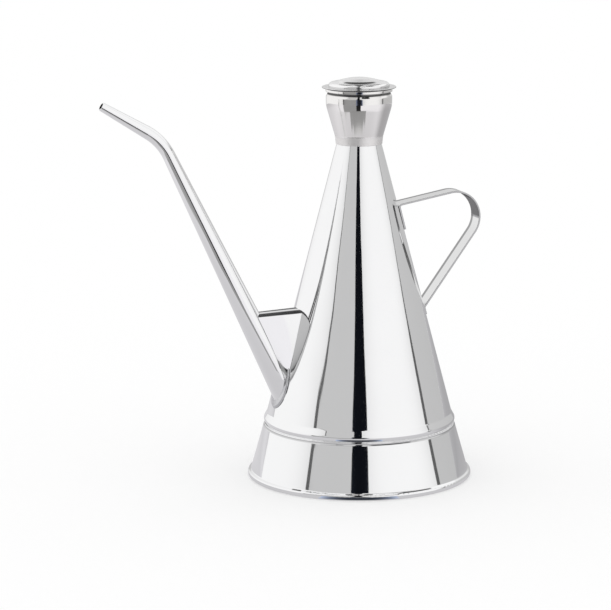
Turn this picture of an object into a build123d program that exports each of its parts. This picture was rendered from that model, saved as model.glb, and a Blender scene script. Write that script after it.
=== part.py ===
from build123d import *
from math import atan, cos, radians, sin, tan
import os

# Olive oil can with a long spout and a strap handle
# Millimetres, +Z up. The origin is on the can's axis, in the plane it stands on.
# The spout points to -X and the handle to +X, both in the XZ plane.

# Sheet metal
body_sheet = 0.6
cup_sheet = 0.5
plate_sheet = 0.5
spout_wall = 0.5
gusset_sheet = 0.6
strap_sheet = 0.9
lid_sheet = 0.5
plug_sheet = 0.4
overrun = 5.0

# Rolled rim that the can stands on
rim_height = 2.5
rim_stand = 1.5
rim_fold_width = 2.0
rim_fold_rise = 1.2
rim_bend = 0.7

# Skirt above the rim; its top band fits round the collar
flare_height = 0.5
flare_bend = 0.9
skirt_height = 21.8
skirt_flare = 6.15
skirt_step = 0.45
band_step_height = 0.5
band_height = 0.8
band_bend = 0.4

# Foot of the cone: a raised bead, a groove below it and a straight collar
groove_rise = 0.3
groove_step = 0.8
collar_height = 4.1
bead_rise = 1.9
bead_stand = 1.0
bead_bend = 1.5
bead_root_bend = 3.0
groove_bend = 0.8

# Cone
cone_bottom_radius = 45.1
cone_top_radius = 10.87
cone_bottom_rise = 3.3
cone_height = 131.6
cone_neck_overlap = 2.2

# Bottom plate, set inside the collar
plate_lift = 2.9
plate_flange = 1.2
plate_bend = 0.6

# Filling cup on top of the cone
cup_seat = 0.12
cup_foot_height = 3.8
cup_waist_step = 0.73
cup_taper_height = 14.8
cup_radius = 15.9
cup_wall_height = 4.4
cup_shoulder_height = 1.6
cup_shoulder_step = 1.4
cup_mouth_height = 2.5
cup_rim_width = 1.55
cup_rim_drop = 1.35
cup_waist_bend = 8.0
cup_wall_bend = 12.0
cup_mouth_bend = 0.6
cup_rim_bend = 0.5

# Lid: a flat brim, a short wall and a low dome with a button on top
brim_stand = 1.8
brim_bend = 0.45
lid_wall_height = 2.6
lid_shoulder_bend = 1.5
dome_rise = 0.15
dome_bend = 1.2
button_radius = 9.6
button_foot_width = 1.4
button_foot_rise = 0.7
button_bend = 0.7
crown_step = 4.5
crown_rise = 1.05
crown_bend = 5.0
crown_cap_rise = 0.35

# Ring under the lid that centres it in the cup
plug_clearance = 0.35
plug_depth = 7.0
plug_lead_in = 0.7
plug_lead_height = 1.2
plug_lead_bend = 1.0

# Spout: a tapered tube with an elbow near its end
spout_root_rise = 17.4
spout_rise = 120.2
spout_lean = 25.75
spout_tip_slope = 31.0
spout_tip_run = 33.9
spout_root_radius = 6.46
spout_elbow_radius = 3.1
spout_elbow_bend = 28.0
spout_tip_radius = 2.1

# Solder seam round the root of the spout
seam_width = 2.3
seam_height = 0.8
seam_round = 0.5

# Gusset between spout and cone: a folded channel, open below
gusset_lift = 0.8
gusset_height = 33.5
gusset_top_rise = 1.1
gusset_spout_top_share = 0.78
gusset_spout_bottom_share = 0.9
gusset_cone_half_top = 5.4
gusset_cone_half_bottom = 8.6
gusset_fold = 1.6

# Handle strap
strap_width = 10.3
strap_top_height = 132.8
strap_height = 51.1
strap_top_slope = 10.0
strap_top_run = 58.47
strap_corner_bend = 12.8
strap_seat = 0.3
tab_length = 12.0
foot_length = 3.6
tab_bend = 1.3
strap_edge_bend = 0.2

# Radii worked out from those above
groove_radius = cone_bottom_radius + groove_step
bead_radius = groove_radius + bead_stand
skirt_top_radius = groove_radius + body_sheet + skirt_step
skirt_bottom_radius = skirt_top_radius + skirt_flare
rim_radius = skirt_bottom_radius + rim_stand
cup_waist_radius = cone_top_radius + cup_waist_step
cup_mouth_radius = cup_radius - cup_shoulder_step
cup_rim_radius = cup_mouth_radius + cup_rim_width
brim_radius = cup_rim_radius + brim_stand
lid_wall_radius = cup_mouth_radius - plug_clearance + lid_sheet

# Heights worked out from those above
skirt_bottom_height = rim_height + flare_height
skirt_top_height = skirt_bottom_height + skirt_height
band_bottom_height = skirt_top_height + band_step_height
band_top_height = band_bottom_height + band_height
groove_height = band_top_height + groove_rise
collar_bottom_height = groove_height - collar_height
bead_height = groove_height + bead_rise
cone_bottom_height = bead_height + cone_bottom_rise
cone_top_height = cone_bottom_height + cone_height
spout_root_height = cone_bottom_height + spout_root_rise
cup_waist_height = cone_top_height + cup_foot_height
cup_wall_bottom_height = cup_waist_height + cup_taper_height
cup_wall_top_height = cup_wall_bottom_height + cup_wall_height
cup_mouth_bottom_height = cup_wall_top_height + cup_shoulder_height
cup_rim_top_height = cup_mouth_bottom_height + cup_mouth_height
lid_shoulder_height = cup_rim_top_height + lid_wall_height

# The cone's slope
cone_slope = (cone_bottom_radius - cone_top_radius) / cone_height
cone_angle = atan(cone_slope)


def cone_radius(height):
    """Outer radius of the cone at a height."""
    return cone_top_radius + (cone_top_height - height) * cone_slope


def sheet(points, bends, thickness):
    """Face in the XZ plane: a bent strip of sheet whose middle line runs through the points."""
    middle = FilletPolyline(*points, radius=bends)
    strip = make_face(offset(middle, amount=thickness / 2, side=Side.BOTH).edges())
    return Plane.XZ * strip


def spun(points, bends, thickness):
    """Bent sheet turned once round the can's axis."""
    return revolve(sheet(points, bends, thickness), axis=Axis.Z)


def spun_from_centre(points, bends, thickness):
    """The same for sheet whose profile starts on the axis."""
    strip = sheet(points, bends, thickness)
    reach = max(radius for radius, height in points) + overrun
    low = min(height for radius, height in points) - overrun
    high = max(height for radius, height in points) + overrun
    window = Plane.XZ * make_face(Polyline((0, low), (reach, low), (reach, high), (0, high), close=True))
    return revolve(strip & window, axis=Axis.Z)


def cone_solid(growth=0):
    """The space inside the cone's outer surface, from the ground up into the cup."""
    top = cone_top_height + cone_neck_overlap
    shift = growth / cos(cone_angle)
    outline = Polyline(
        (0, 0),
        (cone_radius(0) + shift, 0),
        (cone_radius(top) + shift, top),
        (0, top),
        close=True,
    )
    return revolve(Plane.XZ * make_face(outline), axis=Axis.Z)


def make_body_cone():
    half = body_sheet / 2
    inset = half / cos(cone_angle)
    top = cone_top_height + cone_neck_overlap
    points = [
        (cone_radius(top) - inset, top),
        (cone_radius(cone_bottom_height) - inset, cone_bottom_height),
        (bead_radius - half, bead_height),
        (groove_radius - half, groove_height),
        (groove_radius - half, collar_bottom_height),
    ]
    return spun(points, [bead_root_bend, bead_bend, groove_bend], body_sheet) - spout_bore()


def make_base_skirt():
    half = body_sheet / 2
    rim_middle = rim_radius - half
    fold_middle = rim_middle - rim_fold_width
    points = [
        (groove_radius + half, band_top_height - half),
        (groove_radius + half, band_bottom_height),
        (skirt_top_radius - half, skirt_top_height),
        (skirt_bottom_radius - half, skirt_bottom_height),
        (rim_middle, rim_height - half),
        (rim_middle, half),
        (fold_middle, half),
        (fold_middle, half + rim_fold_rise),
    ]
    bends = [band_bend, band_bend, flare_bend, rim_bend, rim_bend, rim_bend]
    return spun(points, bends, body_sheet)


def make_bottom_plate():
    wall = groove_radius - body_sheet - plate_sheet / 2
    flange_bottom = collar_bottom_height + plate_lift
    plate_height = flange_bottom + plate_flange
    points = [
        (0, plate_height),
        (wall, plate_height),
        (wall, flange_bottom),
    ]
    return spun_from_centre(points, [plate_bend], plate_sheet)


def make_neck_cup():
    """Cup with an outward rolled rim; its foot is seated on the cone."""
    half = cup_sheet / 2
    mouth = cup_mouth_radius + half
    rim = cup_rim_radius - half
    top = cup_rim_top_height - half
    points = [
        (cone_top_radius + half - cup_seat, cone_top_height + half),
        (cup_waist_radius - half, cup_waist_height),
        (cup_radius - half, cup_wall_bottom_height),
        (cup_radius - half, cup_wall_top_height),
        (mouth, cup_mouth_bottom_height),
        (mouth, top),
        (rim, top),
        (rim, top - cup_rim_drop),
    ]
    bends = [cup_waist_bend, cup_wall_bend, cup_mouth_bend, cup_mouth_bend, cup_rim_bend, cup_rim_bend]
    return spun(points, bends, cup_sheet) - cone_solid()


def make_lid():
    half = lid_sheet / 2
    wall = lid_wall_radius - half
    brim = cup_rim_top_height + half
    shoulder = lid_shoulder_height - half
    dome = shoulder + dome_rise
    button = dome + button_foot_rise
    crown = button + crown_rise
    points = [
        (0, crown + crown_cap_rise),
        (button_radius - crown_step, crown),
        (button_radius, button),
        (button_radius + button_foot_width, dome),
        (wall, shoulder),
        (wall, brim),
        (brim_radius - half, brim),
    ]
    bends = [crown_bend, button_bend, dome_bend, lid_shoulder_bend, brim_bend]
    return spun_from_centre(points, bends, lid_sheet)


def make_lid_plug():
    """Ring that fits inside the lid's wall and reaches down into the cup."""
    wall = lid_wall_radius - lid_sheet - plug_sheet / 2
    top = lid_shoulder_height - lid_sheet / 2 - lid_shoulder_bend
    bottom = cup_rim_top_height - plug_depth
    points = [
        (wall, top),
        (wall, bottom + plug_lead_height),
        (wall - plug_lead_in, bottom),
    ]
    return spun(points, [plug_lead_bend], plug_sheet)


def spout_line():
    """Root, corner and tip of the spout's middle line, and its directions up and out."""
    lean = radians(spout_lean)
    slope = radians(spout_tip_slope)
    up = Vector(-sin(lean), 0, cos(lean))
    out = Vector(-cos(slope), 0, sin(slope))
    root = Vector(-cone_radius(spout_root_height), 0, spout_root_height)
    corner = root + up * (spout_rise / cos(lean))
    tip = corner + out * spout_tip_run
    return root, corner, tip, up, out


def tapered_rod(start, end, start_radius, end_radius):
    """Round rod between two points."""
    run = end - start
    frame = Plane(start, x_dir=Vector(0, 1, 0), z_dir=run.normalized())
    return frame * Cone(start_radius, end_radius, run.length, align=(Align.CENTER, Align.CENTER, Align.MIN))


def spout_solid(inset=0, past_root=0, past_tip=0):
    """Tapered rod with an elbow, its radius less by the inset."""
    root, corner, tip, up, out = spout_line()
    turn = 90 - spout_lean - spout_tip_slope
    tangent = spout_elbow_bend * tan(radians(turn / 2))
    elbow_start = corner - up * tangent
    elbow_end = corner + out * tangent
    root_taper = (spout_root_radius - spout_elbow_radius) / (elbow_start - root).length
    tip_taper = (spout_elbow_radius - spout_tip_radius) / (tip - elbow_end).length
    elbow_radius = spout_elbow_radius - inset
    start_radius = spout_root_radius + root_taper * past_root - inset
    end_radius = spout_tip_radius - tip_taper * past_tip - inset
    lower = tapered_rod(root - up * past_root, elbow_start, start_radius, elbow_radius)
    upper = tapered_rod(elbow_end, tip + out * past_tip, elbow_radius, end_radius)
    towards_bend = Vector(-up.Z, 0, up.X)
    bend_centre = elbow_start + towards_bend * spout_elbow_bend
    ring = Plane(elbow_start, x_dir=Vector(0, 1, 0), z_dir=up) * Circle(elbow_radius)
    elbow = revolve(ring, axis=Axis(bend_centre, Vector(0, -1, 0)), revolution_arc=turn)
    return lower + elbow + upper


def spout_bore():
    """The duct inside the spout, long enough to open it at both ends."""
    return spout_solid(inset=spout_wall, past_root=spout_root_radius + overrun, past_tip=overrun)


def make_spout():
    return spout_solid(past_root=spout_root_radius + overrun) - cone_solid() - spout_bore()


def make_spout_seam():
    """Rounded band of solder on the cone, all the way round the spout's root."""
    root, corner, tip, up, out = spout_line()
    reach = spout_root_radius + seam_width
    disc = Plane(root, z_dir=up) * Circle(reach)
    sleeve = extrude(disc, amount=reach + overrun, both=True)
    band = cone_solid(growth=seam_height) & sleeve
    edge = band.edges().filter_by(lambda edge: edge.center().Z > 0).sort_by(Axis.X)[0]
    band = fillet(edge, seam_round)
    return band - cone_solid() - spout_solid(past_root=spout_root_radius + overrun)


def spout_radius(height):
    """Radius of the spout's straight part at a height."""
    root, corner, tip, up, out = spout_line()
    share = (height - root.Z) / (corner.Z - root.Z)
    return spout_root_radius - share * (spout_root_radius - spout_elbow_radius)


def folded_block(inset):
    """Block that widens from the spout to the cone; the gusset is the skin of this block."""
    root, corner, tip, up, out = spout_line()
    bottom = spout_root_height + gusset_lift
    top = bottom + gusset_height
    levels = [
        (bottom, bottom, gusset_spout_bottom_share, gusset_cone_half_bottom),
        (top - inset, top + gusset_top_rise - inset, gusset_spout_top_share, gusset_cone_half_top),
    ]
    sections = []
    for spout_side, cone_side, spout_share, cone_half in levels:
        near_spout = root.X + up.X / up.Z * (spout_side - root.Z)
        near_cone = -cone_radius(cone_side) + overrun
        spout_half = spout_share * spout_radius(spout_side)
        outline = Polyline(
            (near_spout, inset - spout_half, spout_side),
            (near_cone, inset - cone_half, cone_side),
            (near_cone, cone_half - inset, cone_side),
            (near_spout, spout_half - inset, spout_side),
            close=True,
        )
        sections.append(make_face(outline))
    block = loft(sections, ruled=True)
    top_edges = block.faces().sort_by(Axis.Z)[-1].edges().sort_by(Axis.Y)
    return fillet([top_edges[0], top_edges[-1]], gusset_fold - inset)


def make_gusset(seam):
    skin = folded_block(0) - folded_block(gusset_sheet)
    return skin - cone_solid() - spout_solid(past_root=overrun) - seam


def strap_on_cone(height):
    """Point of the strap's middle line where the strap lies on the cone."""
    return cone_radius(height) + (strap_sheet / 2 - strap_seat) / cos(cone_angle), height


def make_handle():
    """Flat strap bent to a loop, with a tab at its top end and a foot at its lower end."""
    strap_low_height = strap_top_height - strap_height
    top_start = strap_on_cone(strap_top_height)
    corner_rise = strap_top_run * tan(radians(strap_top_slope))
    corner = (top_start[0] + strap_top_run, strap_top_height + corner_rise)
    points = [
        strap_on_cone(strap_top_height - tab_length),
        top_start,
        corner,
        strap_on_cone(strap_low_height),
        strap_on_cone(strap_low_height - foot_length),
    ]
    path = Plane.XZ * FilletPolyline(*points, radius=[tab_bend, strap_corner_bend, tab_bend])
    start = Plane(path @ 0, x_dir=Vector(0, 1, 0), z_dir=path % 0)
    strap = sweep(start * RectangleRounded(strap_width, strap_sheet, strap_edge_bend), path=path)
    return strap - cone_solid()


seam = make_spout_seam()
parts = {
    "body_cone": make_body_cone(),
    "base_skirt": make_base_skirt(),
    "bottom_plate": make_bottom_plate(),
    "neck_cup": make_neck_cup(),
    "spout": make_spout(),
    "spout_seam": seam,
    "spout_gusset": make_gusset(seam),
    "handle_strap": make_handle(),
    "lid": make_lid(),
    "lid_plug": make_lid_plug(),
}

os.makedirs("parts", exist_ok=True)
for name, shape in parts.items():
    export_step(shape, f"parts/{name}.step")
    print(name, len(shape.solids()), round(shape.volume, 1), shape.bounding_box())
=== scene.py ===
from math import cos, radians, sin

import bpy
from mathutils import Matrix, Vector


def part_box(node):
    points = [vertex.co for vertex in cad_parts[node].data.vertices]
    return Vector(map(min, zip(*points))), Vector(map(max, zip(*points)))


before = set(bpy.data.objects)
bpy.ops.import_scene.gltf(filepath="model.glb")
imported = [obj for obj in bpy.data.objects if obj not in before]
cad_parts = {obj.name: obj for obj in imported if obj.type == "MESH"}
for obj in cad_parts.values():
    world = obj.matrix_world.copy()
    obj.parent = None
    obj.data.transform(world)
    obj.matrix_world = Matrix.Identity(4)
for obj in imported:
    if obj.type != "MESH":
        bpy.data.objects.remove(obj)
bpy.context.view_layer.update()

# Olive oil can with spout. The CAD pieces are shown as they are: this script gives them their metal,
# and builds the studio that the metal mirrors. Lengths are metres.

# Camera, as in the photograph
photo_azimuth = radians(-20)
camera_distance = 1.340
camera_height = 0.3466
camera_roll = radians(-0.229)
aim_point = Vector((-0.0245, 0.0089, 0.0840))
lens = 165.35
sensor_width = 36.0
far_clip = 50.0

# Studio. Angles are degrees from the camera's side of the can, positive to the right.
card_distance = 1.25
slit_distance = 1.20
gap_distance = 0.95
card_top = 3.0
card_columns = 32
table_columns = 96
floor_size = 12.0
mirror_lift = 0.0001

# Light levels; 1 is white
daylight = 1.0
floor_glow = 0.25
slit_level = 0.12

# Dark slits between the cards: height, angle, half width
slit_left = [
    (0.0, -55.5, 1.9),
    (0.08, -55.5, 1.9),
    (0.15, -55.5, 1.9),
    (0.31, -55.5, 1.9),
    (0.33, -52.8, 1.7),
    (0.355, -50.6, 1.5),
    (0.386, -49.4, 1.2),
    (0.41, -47.7, 1.1),
    (0.46, -48.0, 0.9),
    (0.507, -46.0, 0.7),
    (card_top, -46.0, 0.7),
]
slit_right = [
    (0.0, 90.5, 2.2),
    (0.08, 90.5, 2.2),
    (0.15, 90.5, 2.2),
    (0.20, 90.5, 2.2),
    (0.24, 90.2, 2.0),
    (0.26, 90.0, 1.5),
    (0.30, 91.0, 1.2),
    (0.34, 95.0, 1.0),
    (0.36, 96.5, 0.9),
    (0.62, 96.5, 0.9),
]

# Upright cards: height, left edge, right edge, level in the middle, level at the sides
gap = [
    (0.0, -9.5, 13.0, 0.01, 0.25),
    (0.10, -9.5, 12.0, 0.01, 0.25),
    (0.18, -8.8, 9.5, 0.005, 0.05),
    (0.30, -8.2, 10.0, 0.005, 0.005),
    (0.324, -7.3, 9.2, 0.005, 0.005),
    (0.357, -7.2, 8.1, 0.005, 0.005),
    (0.39, -7.3, 7.5, 0.005, 0.005),
    (0.425, -8.3, 6.5, 0.005, 0.005),
    (0.46, -8.9, 4.5, 0.005, 0.005),
    (0.51, -9.5, 3.2, 0.005, 0.005),
    (0.75, -7.0, 4.0, 0.005, 0.005),
    (card_top, -6.0, 5.0, 0.01, 0.01),
]
back = [
    (0.0, 150.0, 200.0, 0.55, 0.55),
    (0.20, 150.0, 200.0, 0.58, 0.58),
    (0.36, 150.0, 200.0, 0.78, 0.78),
    (0.95, 150.0, 200.0, 0.72, 0.9),
    (1.05, 150.0, 200.0, 0.62, 0.9),
    (1.12, 150.0, 200.0, 0.38, 0.8),
    (1.17, 150.0, 200.0, 0.18, 0.6),
    (1.25, 150.0, 200.0, 0.08, 0.3),
    (card_top, 150.0, 200.0, 0.05, 0.2),
]
high_back = [
    (1.25, 148.0, 202.0, 0.08, 0.3),
    (1.6, 135.0, 225.0, 0.05, 0.2),
    (card_top, 120.0, 240.0, 0.04, 0.1),
]
high_right = [
    (1.5, 12.0, 88.0, 0.03, 0.15),
    (card_top, 12.0, 88.0, 0.03, 0.15),
]

# Light boxes and grey cards. They meet at the slits, and their inner edges lie behind the gap card.
left_end = -160.0
right_end = 150.0
inner_edge = 5.0
# Levels in the middle and at the sides, also near the table, where the sides are darker
box_levels = (1.0, 0.8)
box_foot_levels = (1.0, 0.35)
box_foot_height = 0.10
grey_levels = (0.59, 0.60)
grey_foot_levels = [(0.33, 0.25), (0.33, 0.25), (0.45, 0.25)]
# The right grey card gets paler with height, by so much to a metre, and is white above a height
grey_right_level = 0.55
grey_right_rise = 0.12
white_height = 0.75
box_left = [(height, left_end, angle, *box_levels) for height, angle, half in slit_left]
grey_left = []
for row, (height, angle, half) in enumerate(slit_left):
    levels = grey_foot_levels[row] if row < len(grey_foot_levels) else grey_levels
    grey_left.append((height, angle, -inner_edge, *levels))
box_right = []
grey_right = []
for height, angle, half in slit_right:
    levels = box_foot_levels if height < box_foot_height else box_levels
    level = grey_right_level + grey_right_rise * height
    box_right.append((height, inner_edge, angle, *levels))
    grey_right.append((height, angle, right_end, level, level))
highest_angle = slit_right[-1][1]
box_right.append((card_top, inner_edge, highest_angle, *box_levels))
for height in (white_height, card_top):
    grey_right.append((height, highest_angle, right_end, 1.0, 1.0))

# Dark strip overhead: distance towards the camera, half width
overhead = [(1.25, 0.14), (-1.25, 0.35)]
overhead_level = 0.08

# Table seen by the metal only: radius, level in front, level behind on the left and on the right
table = [
    (0.0, 0.62, 0.62, 0.50),
    (0.06, 0.62, 0.72, 0.47),
    (0.10, 0.63, 0.72, 0.46),
    (0.20, 0.67, 0.68, 0.44),
    (0.26, 0.74, 0.72, 0.42),
    (0.34, 0.93, 0.75, 0.43),
    (0.60, 0.95, 0.72, 0.45),
    (0.90, 0.95, 0.62, 0.50),
    (1.22, 0.95, 0.60, 0.50),
]
# Angles between which the table's front level changes to the level behind
blend_left = (55.0, 140.0)
blend_right = (70.0, 112.0)

# Mats on the table: radius, left edge, right edge, level in the middle, level at the sides
contact_shade = [
    (0.0546, -21.0, 21.0, 0.04, 0.6),
    (0.072, -21.0, 21.0, 0.04, 0.6),
]
grey_mat = [
    (0.255, -58.0, 2.0, 0.62, 0.72),
    (0.27, -58.0, 2.0, 0.42, 0.50),
    (0.32, -58.0, 2.0, 0.32, 0.34),
    (1.22, -56.0, 0.0, 0.32, 0.34),
]
step_mat = [
    (0.2150, -24.0, 17.0, 0.69, 0.69),
    (0.2185, -24.0, 17.0, 0.58, 0.60),
    (0.2225, -24.0, 17.0, 0.35, 0.37),
    (0.2280, -26.0, 18.0, 0.32, 0.34),
    (0.2283, -36.0, 27.0, 0.32, 0.34),
    (0.30, -36.0, 27.0, 0.30, 0.34),
]
dark_mat = [
    (0.285, -10.0, 7.0, 0.28, 0.30),
    (0.297, -10.0, 7.0, 0.04, 0.08),
    (0.34, -9.5, 6.0, 0.02, 0.05),
    (0.50, -9.5, 6.0, 0.015, 0.04),
    (0.95, -9.5, 6.0, 0.01, 0.02),
]

# Tints of the light from the studio's pieces
white = (1.0, 1.0, 1.0)
table_tint = (0.985, 0.975, 1.0)
gap_tint = (0.85, 1.0, 1.5)
shade_tint = (0.85, 0.97, 1.25)

# Floor paper
fibre_scale = 900.0
paper_tones = (0.745, 0.755)

# Surface of the metal. Scales are cells to a metre, or to a radian round the can's axis.
wave_scale = 28.0
smear_scale = 55.0
scale_across_lines = 3000.0
scale_along_lines = 40.0
scale_round_axis = 1.2
line_height = 0.000002
line_strength = 0.25
smeared_tint = 0.965
satin = 0.5
# Colour of the painted shade, a dark sheet laid over the metal
painted_shade_colour = (0.02, 0.02, 0.022, 1.0)
# Shares of its stated loss that a painted shade has where smears are faintest and strongest
painted_shade_spread = (0.8, 1.1)
# Stands in for a limit that a place doesn't have; it lies beyond every position and direction
no_limit = 2.0


# Node trees

def add(tree, kind, inputs=None, **settings):
    """Adds a node. An input is a plain value or another node's output."""
    made = tree.nodes.new(kind)
    for name, value in settings.items():
        setattr(made, name, value)
    for name, value in (inputs or {}).items():
        socket = made.inputs[name]
        if isinstance(value, bpy.types.NodeSocket):
            tree.links.new(value, socket)
        else:
            socket.default_value = value
    return made


def blank_tree(owner):
    owner.use_nodes = True
    owner.node_tree.nodes.clear()
    return owner.node_tree


def calculate(tree, operation, first, second=0.0):
    made = add(tree, "ShaderNodeMath", {0: first, 1: second}, operation=operation)
    return made.outputs[0]


def remap(tree, value, low, high, start=0.0, end=1.0):
    """Stretches a value that runs from start to end, to run from low to high."""
    made = add(tree, "ShaderNodeMapRange", {
        "Value": value,
        "From Min": start,
        "From Max": end,
        "To Min": low,
        "To Max": high,
    })
    return made.outputs[0]


def noise(tree, vector, scale, detail=2.0, roughness=0.5):
    inputs = {"Vector": vector, "Scale": scale, "Detail": detail, "Roughness": roughness}
    return add(tree, "ShaderNodeTexNoise", inputs).outputs["Fac"]


def mix_colour(tree, factor, first, second):
    """Mixes two colours; each is three numbers or another node's output."""
    mix = add(tree, "ShaderNodeMix", data_type="RGBA")
    tree.links.new(factor, mix.inputs[0])
    for socket, colour in ((mix.inputs[6], first), (mix.inputs[7], second)):
        if isinstance(colour, bpy.types.NodeSocket):
            tree.links.new(colour, socket)
        else:
            socket.default_value = (*colour, 1.0)
    return mix.outputs[2]


def scaled(colour, factor):
    return tuple(channel * factor for channel in colour)


def between(tree, value, low, high, blur):
    """1 where the value lies between low and high, and 0 elsewhere."""
    rise = remap(tree, value, 0.0, 1.0, low - blur, low + blur)
    fall = remap(tree, value, 1.0, 0.0, high - blur, high + blur)
    return calculate(tree, "MULTIPLY", rise, fall)


# Places on a piece. Each makes a function whose nodes give 1 where the place is, and 0 elsewhere.

def band(low, high, blur=0.0002):
    """A level band between two heights."""
    def build(tree, parts, facing):
        return between(tree, parts["Z"], low, high, blur)
    return build


def band_facing(low, high, facing_low, facing_high, blur=0.0002, facing_blur=0.03):
    """The part of a level band whose surface faces up by an amount between two limits."""
    def build(tree, parts, facing):
        here = between(tree, parts["Z"], low, high, blur)
        turned = between(tree, facing["Z"], facing_low, facing_high, facing_blur)
        return calculate(tree, "MULTIPLY", here, turned)
    return build


def far_border(start, end, blur=0.0003):
    """The strip of a face that lies between two distances behind the middle plane."""
    def build(tree, parts, facing):
        return between(tree, parts["Y"], start, end, blur)
    return build


def cut_edge(least=0.6, blur=0.15):
    """The narrow faces along a strap's two edges, which face sideways."""
    def build(tree, parts, facing):
        sideways = calculate(tree, "ABSOLUTE", facing["Y"])
        return between(tree, sideways, least, no_limit, blur)
    return build


def inside_bend(low, start, turned_back=-0.15, facing_blur=0.1, low_blur=0.0006, start_blur=0.001):
    """The inner face of a loop's bend, above a height and beyond a distance along X."""
    def build(tree, parts, facing):
        inner = between(tree, facing["X"], -no_limit, turned_back, facing_blur)
        above = between(tree, parts["Z"], low, no_limit, low_blur)
        beyond = between(tree, parts["X"], start, no_limit, start_blur)
        return calculate(tree, "MULTIPLY", inner, calculate(tree, "MULTIPLY", above, beyond))
    return build


def both(first, second):
    """Where two places overlap."""
    def build(tree, parts, facing):
        return calculate(tree, "MULTIPLY", first(tree, parts, facing), second(tree, parts, facing))
    return build


# Metal

def polished_metal(name, tint, grain, shine=(0.035, 0.075), painted_shades=(), dull=None, wave_height=0.00003):
    """Mirror-polished sheet: soft waves, polishing lines, smears and painted shade.

    Shine is the least and the greatest roughness. A painted shade is a place, and the share of the light
    that is lost there. The dull place has a satin finish."""
    material = bpy.data.materials.new(name)
    tree = blank_tree(material)
    coordinates = add(tree, "ShaderNodeTexCoord").outputs
    place = coordinates["Object"]
    parts = add(tree, "ShaderNodeSeparateXYZ", {"Vector": place}).outputs
    facing = add(tree, "ShaderNodeSeparateXYZ", {"Vector": coordinates["Normal"]}).outputs
    lines = noise(tree, grain(tree, place, parts), 1.0, detail=3.0)
    smear = noise(tree, place, smear_scale, detail=4.0, roughness=0.6)
    wave = noise(tree, place, wave_scale, detail=1.0)
    wear = calculate(tree, "MULTIPLY", smear, lines)
    rough = remap(tree, wear, shine[0], shine[1])
    if dull:
        dullness = calculate(tree, "MULTIPLY", dull(tree, parts, facing), satin)
        rough = calculate(tree, "MAXIMUM", rough, dullness)
    shade = mix_colour(tree, smear, scaled(tint, smeared_tint), tint)
    waves = add(tree, "ShaderNodeBump", {"Strength": 1.0, "Distance": wave_height, "Height": wave})
    fine = add(tree, "ShaderNodeBump", {
        "Strength": line_strength,
        "Distance": line_height,
        "Height": lines,
        "Normal": waves.outputs["Normal"],
    })
    metal = add(tree, "ShaderNodeBsdfPrincipled", {
        "Base Color": shade,
        "Metallic": 1.0,
        "Roughness": rough,
        "Normal": fine.outputs["Normal"],
    })
    surface = metal.outputs[0]
    if painted_shades:
        # Painted shade: a dark sheet mixed over the metal at the listed places
        darkness = all_painted_shades(tree, painted_shades, parts, facing, smear)
        shade_paint = add(tree, "ShaderNodeBsdfDiffuse", {"Color": painted_shade_colour}).outputs[0]
        surface = add(tree, "ShaderNodeMixShader", {0: darkness, 1: surface, 2: shade_paint}).outputs[0]
    add(tree, "ShaderNodeOutputMaterial", {"Surface": surface})
    return material


def all_painted_shades(tree, painted_shades, parts, facing, smear):
    """The share of the light that is lost to the darkest of the painted shades."""
    darkness = 0.0
    for where, loss in painted_shades:
        smeared_loss = remap(tree, smear, loss * painted_shade_spread[0], loss * painted_shade_spread[1])
        strength = calculate(tree, "MULTIPLY", where(tree, parts, facing), smeared_loss)
        darkness = calculate(tree, "MAXIMUM", strength, darkness)
    return darkness


def grain_round(tree, place, parts):
    """Polishing lines that run round the can's axis."""
    angle = calculate(tree, "ARCTAN2", parts["Y"], parts["X"])
    x_squared = calculate(tree, "POWER", parts["X"], 2.0)
    y_squared = calculate(tree, "POWER", parts["Y"], 2.0)
    radius = calculate(tree, "SQRT", calculate(tree, "ADD", x_squared, y_squared))
    made = add(tree, "ShaderNodeCombineXYZ", {
        "X": calculate(tree, "MULTIPLY", angle, scale_round_axis),
        "Y": calculate(tree, "MULTIPLY", radius, scale_across_lines),
        "Z": calculate(tree, "MULTIPLY", parts["Z"], scale_across_lines),
    })
    return made.outputs[0]


def grain_along(lean):
    """Polishing lines that run along a direction in the XZ plane, leaning by an angle from Z."""
    def build(tree, place, parts):
        made = add(tree, "ShaderNodeMapping", {
            "Vector": place,
            "Rotation": (0.0, lean, 0.0),
            "Scale": (scale_across_lines, scale_across_lines, scale_along_lines),
        })
        return made.outputs[0]
    return build


def paint(node, material):
    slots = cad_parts[node].data.materials
    slots.clear()
    slots.append(material)


# Tints of the metal
steel_tint = (0.93, 0.93, 0.935)
cup_tint = (0.89, 0.875, 0.865)
lid_tint = (0.95, 0.945, 0.945)
plug_tint = (0.80, 0.80, 0.80)
strap_tint = (0.80, 0.80, 0.80)
plate_tint = (0.72, 0.72, 0.73)
solder_tint = (0.62, 0.62, 0.635)

# Sides of the pieces' boxes, from which the places below are measured
low_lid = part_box("lid")[0][2]
low_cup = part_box("neck_cup")[0][2]
high_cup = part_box("neck_cup")[1][2]
high_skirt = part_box("base_skirt")[1][2]
wide_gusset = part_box("spout_gusset")[1][1]
high_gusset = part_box("spout_gusset")[1][2]
far_strap, wide_strap, high_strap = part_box("handle_strap")[1]
spout_lean = radians(25.75)
upright = 0.0

# The satin foot of the cup
cup_foot = band(low_cup - 0.001, low_cup + 0.0042, 0.0006)
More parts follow.
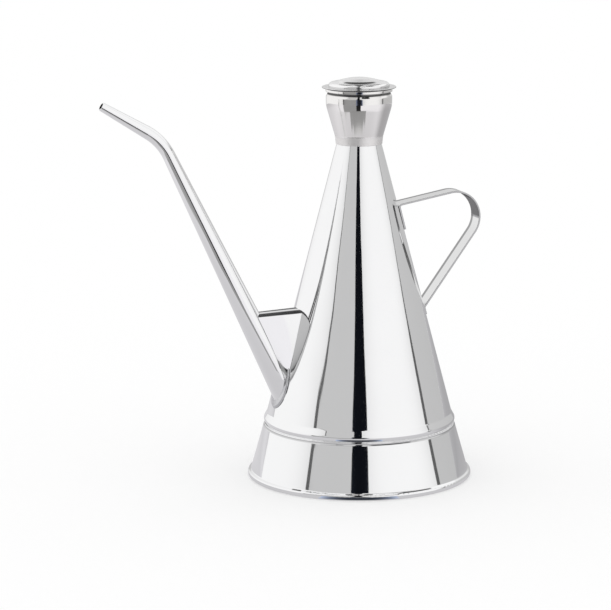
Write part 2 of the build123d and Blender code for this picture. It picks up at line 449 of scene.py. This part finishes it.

# Painted shade at folds, rims and edges: a place, and the share of the light that is lost there
band_shade = [(band(high_skirt - 0.0012, high_skirt - 0.0003), 0.35)]
rim_shade = [(band(high_cup - 0.0030, high_cup - 0.0017), 0.9)]
brim_shade = [
    (band(low_lid - 0.001, low_lid + 0.0003, 0.0001), 0.9),
    (band(low_lid + 0.0005, low_lid + 0.0012, 0.0001), 0.25),
]
# The gusset's fold and the lines along its top get painted shade and painted dark reflections
top_of_gusset = band_facing(high_gusset - 0.006, high_gusset + 0.001, 0.93, no_limit)
gusset_shade = [
    (band_facing(high_gusset - 0.006, high_gusset + 0.001, 0.25, 0.93), 0.97),
    (both(top_of_gusset, far_border(0.0008, no_limit)), 0.85),
    (both(top_of_gusset, far_border(-wide_gusset, -0.0022)), 0.85),
]
# The strap's edges and the inside of its bend get painted shade and painted dark reflections
strap_shade = [
    (cut_edge(), 0.4),
    (far_border(wide_strap - 0.0026, wide_strap - 0.0002), 0.6),
    (inside_bend(high_strap - 0.0135, far_strap - 0.012), 0.75),
]

paint("body_cone", polished_metal("cone_steel", steel_tint, grain_round))
paint("base_skirt", polished_metal("skirt_steel", steel_tint, grain_round, painted_shades=band_shade))
paint("bottom_plate", polished_metal("plate_steel", plate_tint, grain_round, shine=(0.2, 0.35)))
paint("neck_cup", polished_metal(
    "cup_steel", cup_tint, grain_round,
    shine=(0.05, 0.08), painted_shades=rim_shade, dull=cup_foot, wave_height=0.00001,
))
paint("lid", polished_metal("lid_steel", lid_tint, grain_round, shine=(0.13, 0.19), painted_shades=brim_shade))
paint("lid_plug", polished_metal("plug_steel", plug_tint, grain_round, shine=(0.1, 0.2)))
paint("spout", polished_metal("spout_steel", steel_tint, grain_along(spout_lean)))
paint("spout_gusset", polished_metal("gusset_steel", steel_tint, grain_along(upright), painted_shades=gusset_shade))
paint("handle_strap", polished_metal(
    "strap_steel", strap_tint, grain_along(upright),
    shine=(0.06, 0.12), painted_shades=strap_shade,
))
paint("spout_seam", polished_metal("solder", solder_tint, grain_round, shine=(0.15, 0.3)))


# Studio

def lit_by_sight(tree, seen, lit):
    """The seen shader for camera, glossy and transmitted rays, and the lit one for the rest."""
    path = add(tree, "ShaderNodeLightPath").outputs
    direct = calculate(tree, "MAXIMUM", path["Is Camera Ray"], path["Is Glossy Ray"])
    sight = calculate(tree, "MAXIMUM", direct, path["Is Transmission Ray"])
    mix = add(tree, "ShaderNodeMixShader", {0: sight, 1: lit, 2: seen})
    return mix.outputs[0]


def make_world():
    """White from all sides."""
    world = bpy.data.worlds.new("studio")
    tree = blank_tree(world)
    light = add(tree, "ShaderNodeBackground", {"Color": (*white, 1.0), "Strength": daylight})
    add(tree, "ShaderNodeOutputWorld", {"Surface": light.outputs[0]})
    bpy.context.scene.world = world


def studio_piece(name, corners, columns, levels, tint=white):
    """Glowing stage piece that only mirrors see. Its corners and their levels come row by row."""
    faces = []
    for row in range(len(corners) // columns - 1):
        for column in range(columns - 1):
            first = row * columns + column
            faces.append((first, first + 1, first + columns + 1, first + columns))
    mesh = bpy.data.meshes.new(name)
    mesh.from_pydata(corners, [], faces)
    glow = mesh.attributes.new("glow", "FLOAT", "POINT")
    glow.data.foreach_set("value", levels)
    made = bpy.data.objects.new(name, mesh)
    bpy.context.collection.objects.link(made)
    material = bpy.data.materials.new(name)
    tree = blank_tree(material)
    level = add(tree, "ShaderNodeAttribute", attribute_name="glow").outputs["Fac"]
    light = add(tree, "ShaderNodeEmission", {"Color": (*tint, 1.0), "Strength": level}).outputs[0]
    add(tree, "ShaderNodeOutputMaterial", {"Surface": light})
    mesh.materials.append(material)
    made.visible_camera = False
    made.visible_diffuse = False
    made.visible_shadow = False


def studio_point(angle, distance, height):
    turn = radians(angle - 90) + photo_azimuth
    return distance * cos(turn), distance * sin(turn), height


def curved_sheet(name, rows, side_power, tint):
    """Sheet that curves round the can.

    A row is a distance, a height, two edges, and the levels in the middle and at the sides. With a
    higher side power, the middle's level reaches nearer to the sides."""
    corners = []
    levels = []
    for distance, height, left, right, level, side_level in rows:
        for column in range(card_columns + 1):
            share = column / card_columns
            corners.append(studio_point(left + (right - left) * share, distance, height))
            levels.append(level + (side_level - level) * abs(2 * share - 1) ** side_power)
    studio_piece(name, corners, card_columns + 1, levels, tint)


def card(name, outline, distance, side_power=4, tint=white):
    curved_sheet(name, [(distance, *row) for row in outline], side_power, tint)


def slit(name, line):
    outline = []
    for height, angle, half in line:
        outline.append((height, angle - half, angle + half, slit_level, slit_level))
    card(name, outline, slit_distance)


def lay_mat(name, outline, layer, side_power=6, tint=white):
    height = layer * mirror_lift
    rows = [(radius, height, *rest) for radius, *rest in outline]
    curved_sheet(name, rows, side_power, tint)


def smooth_share(value, start, end):
    """0 up to the start, 1 from the end on, with a soft change between."""
    share = min(max((value - start) / (end - start), 0.0), 1.0)
    return share * share * (3 - 2 * share)


def make_table():
    corners = []
    levels = []
    for radius, front, left, right in table:
        for column in range(table_columns + 1):
            angle = 360.0 * column / table_columns - 180.0
            behind, limits = (left, blend_left) if angle < 0 else (right, blend_right)
            corners.append(studio_point(angle, radius, mirror_lift))
            levels.append(front + (behind - front) * smooth_share(abs(angle), *limits))
    studio_piece("table", corners, table_columns + 1, levels, table_tint)


def make_overhead():
    corners = []
    for reach, half in overhead:
        x, y, z = studio_point(0, reach, card_top)
        across = studio_point(90, half, 0)
        corners += [(x - across[0], y - across[1], z), (x + across[0], y + across[1], z)]
    studio_piece("overhead", corners, 2, [overhead_level] * len(corners))


def make_floor():
    half = floor_size / 2
    mesh = bpy.data.meshes.new("floor")
    corners = [(-half, -half, 0), (half, -half, 0), (half, half, 0), (-half, half, 0)]
    mesh.from_pydata(corners, [], [(0, 1, 2, 3)])
    floor = bpy.data.objects.new("floor", mesh)
    floor.location.z = -mirror_lift
    bpy.context.collection.objects.link(floor)
    material = bpy.data.materials.new("floor_paper")
    tree = blank_tree(material)
    place = add(tree, "ShaderNodeTexCoord").outputs["Object"]
    fibres = noise(tree, place, fibre_scale, detail=4.0)
    tone = remap(tree, fibres, *paper_tones)
    paper = add(tree, "ShaderNodeBsdfDiffuse", {"Color": tone}).outputs[0]
    glow = add(tree, "ShaderNodeEmission", {"Strength": floor_glow}).outputs[0]
    seen = add(tree, "ShaderNodeAddShader", {0: paper, 1: glow}).outputs[0]
    add(tree, "ShaderNodeOutputMaterial", {"Surface": lit_by_sight(tree, seen, paper)})
    mesh.materials.append(material)


def make_camera():
    place = Vector(studio_point(0, camera_distance, camera_height))
    aim = (aim_point - place).to_track_quat("-Z", "Y").to_matrix().to_4x4()
    camera = bpy.data.objects.new("camera", bpy.data.cameras.new("camera"))
    camera.data.lens = lens
    camera.data.sensor_width = sensor_width
    camera.data.clip_end = far_clip
    camera.matrix_world = Matrix.Translation(place) @ aim @ Matrix.Rotation(camera_roll, 4, "Z")
    bpy.context.collection.objects.link(camera)
    bpy.context.scene.camera = camera


make_world()
make_floor()
card("box_right", box_right, card_distance)
card("box_left", box_left, card_distance)
card("grey_left", grey_left, card_distance)
card("grey_right", grey_right, card_distance)
card("back", back, card_distance, side_power=2)
card("high_back", high_back, slit_distance, side_power=2)
card("high_right", high_right, slit_distance)
card("gap", gap, gap_distance, tint=gap_tint)
slit("slit_left", slit_left)
slit("slit_right", slit_right)
make_table()
make_overhead()
lay_mat("grey_mat", grey_mat, layer=2)
lay_mat("step_mat", step_mat, layer=3)
lay_mat("dark_mat", dark_mat, layer=4)
lay_mat("contact_shade", contact_shade, layer=2, side_power=4, tint=shade_tint)
make_camera()
bpy.context.scene.view_settings.view_transform = "Standard"
